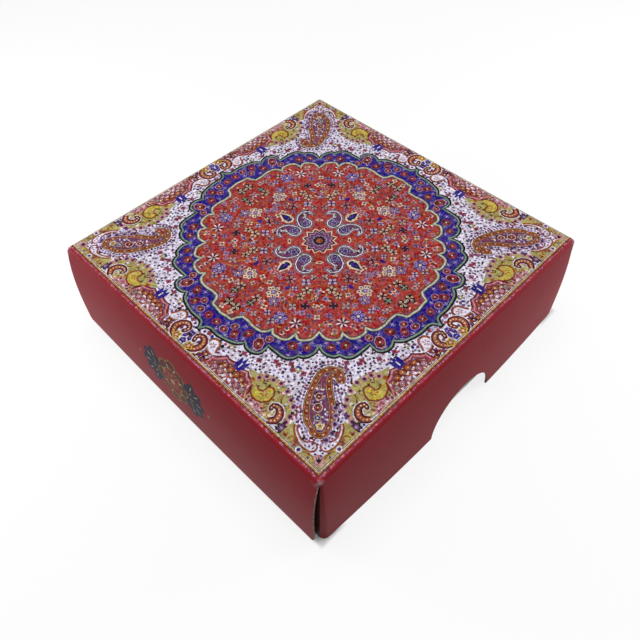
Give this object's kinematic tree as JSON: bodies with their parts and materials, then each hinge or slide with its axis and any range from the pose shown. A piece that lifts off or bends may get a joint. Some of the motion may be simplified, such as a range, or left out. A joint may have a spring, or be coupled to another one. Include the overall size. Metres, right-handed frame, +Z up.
{
  "type": "jewelry box",
  "caption": "Square folding-carton jewelry box: a printed lid with thumb notches lifts off a plain white tray that holds a foam pad under a slitted flocked card.",
  "frame": {"origin": "on the surface the box stands on, under the middle of the tray's bottom panel", "axes": "+Z up, the way the lid lifts; the front wall faces -Y and the notched end walls face +X and -X"},
  "size_m": [0.0944, 0.095, 0.028],
  "materials": {
    "printed_board": "satin",
    "white_board": "matte",
    "foam": "matte",
    "flock": "matte"
  },
  "bodies": {
    "tray": {"tray_main_panel": "white_board", "tray_front_wall": "white_board", "tray_front_rim": "white_board", "tray_front_lining": "white_board", "tray_back_wall": "white_board", "tray_back_rim": "white_board", "tray_back_lining": "white_board", "tray_right_end_wall": "white_board", "tray_right_front_flap": "white_board", "tray_right_back_flap": "white_board", "tray_left_end_wall": "white_board", "tray_left_front_flap": "white_board", "tray_left_back_flap": "white_board"},
    "insert": {"insert_foam_pad": "foam", "insert_flocked_card": "flock"},
    "lid": {"lid_main_panel": "printed_board", "lid_front_wall": "printed_board", "lid_front_rim": "printed_board", "lid_front_lining": "printed_board", "lid_back_wall": "printed_board", "lid_back_rim": "printed_board", "lid_back_lining": "printed_board", "lid_right_end_wall": "printed_board", "lid_right_front_flap": "printed_board", "lid_right_back_flap": "printed_board", "lid_left_end_wall": "printed_board", "lid_left_front_flap": "printed_board", "lid_left_back_flap": "printed_board"}
  },
  "joints": [
    {"name": "insert_lift", "type": "slide", "parent": "tray", "child": "insert", "axis": [0, 0, 1], "range_m": [0, 0.04]},
    {"name": "lid_lift", "type": "slide", "parent": "insert", "child": "lid", "axis": [0, 0, 1], "range_m": [0, 0.07]}
  ]
}
